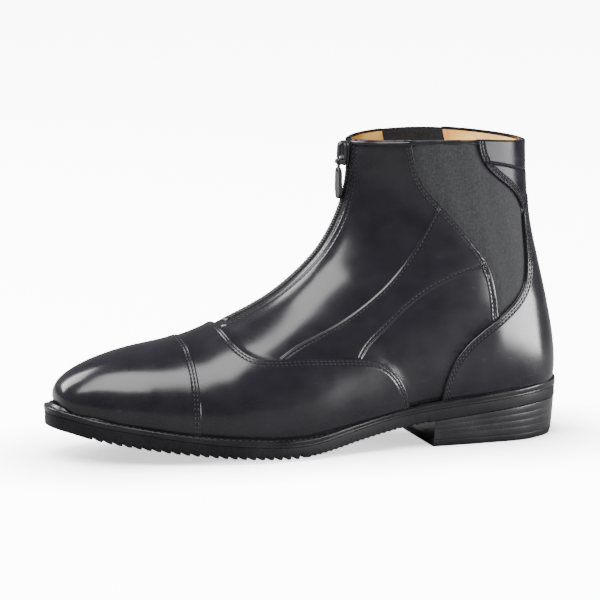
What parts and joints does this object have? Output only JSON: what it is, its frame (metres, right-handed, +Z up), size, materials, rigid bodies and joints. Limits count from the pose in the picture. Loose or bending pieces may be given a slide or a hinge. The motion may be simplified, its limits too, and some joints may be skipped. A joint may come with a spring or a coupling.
{
  "type": "paddock boot",
  "caption": "Left ankle-high riding boot with toe cap, front zip with a hinged pull, elastic side gussets, welted sole and stacked heel.",
  "frame": {"origin": "on the floor, midway along and across the sole", "axes": "-X towards the toe, -Y towards the outer (lateral) side, +Z up the shaft"},
  "size_m": [0.293, 0.0962, 0.1708],
  "materials": {
    "upper": "smooth polished black leather with a fine grain, tan lining",
    "vamp": "smooth polished black leather",
    "toe_cap": "smooth polished black leather",
    "heel_counter": "smooth polished black leather",
    "collar_patch": "glossy black leather",
    "gusset_lateral": "fine ribbed dark grey elastic",
    "gusset_medial": "fine ribbed dark grey elastic",
    "zip_tape": "black woven zip tape",
    "zip_coil": "black moulded zip teeth",
    "zip_slider": "black enamelled metal",
    "zip_pull": "black enamelled metal",
    "welt": "black edge-dressed welt",
    "outsole": "satin black rubber",
    "heel_block": "edge-dressed black stacked heel",
    "top_lift": "satin black rubber",
    "insole": "tan lining leather"
  },
  "bodies": {
    "boot": {"upper": "upper", "vamp": "vamp", "toe_cap": "toe_cap", "heel_counter": "heel_counter", "collar_patch": "collar_patch", "gusset_lateral": "gusset_lateral", "gusset_medial": "gusset_medial", "zip_tape": "zip_tape", "zip_coil": "zip_coil", "zip_slider": "zip_slider", "welt": "welt", "outsole": "outsole", "heel_block": "heel_block", "top_lift": "top_lift", "insole": "insole"},
    "zip_pull": {"zip_pull": "zip_pull"}
  },
  "joints": [
    {"name": "zip_pull_hinge", "type": "hinge", "parent": "boot", "child": "zip_pull", "pos_m": [0.0204, 0.0012, 0.1566], "axis": [0, 1, 0], "range_deg": [0, 140]}
  ]
}
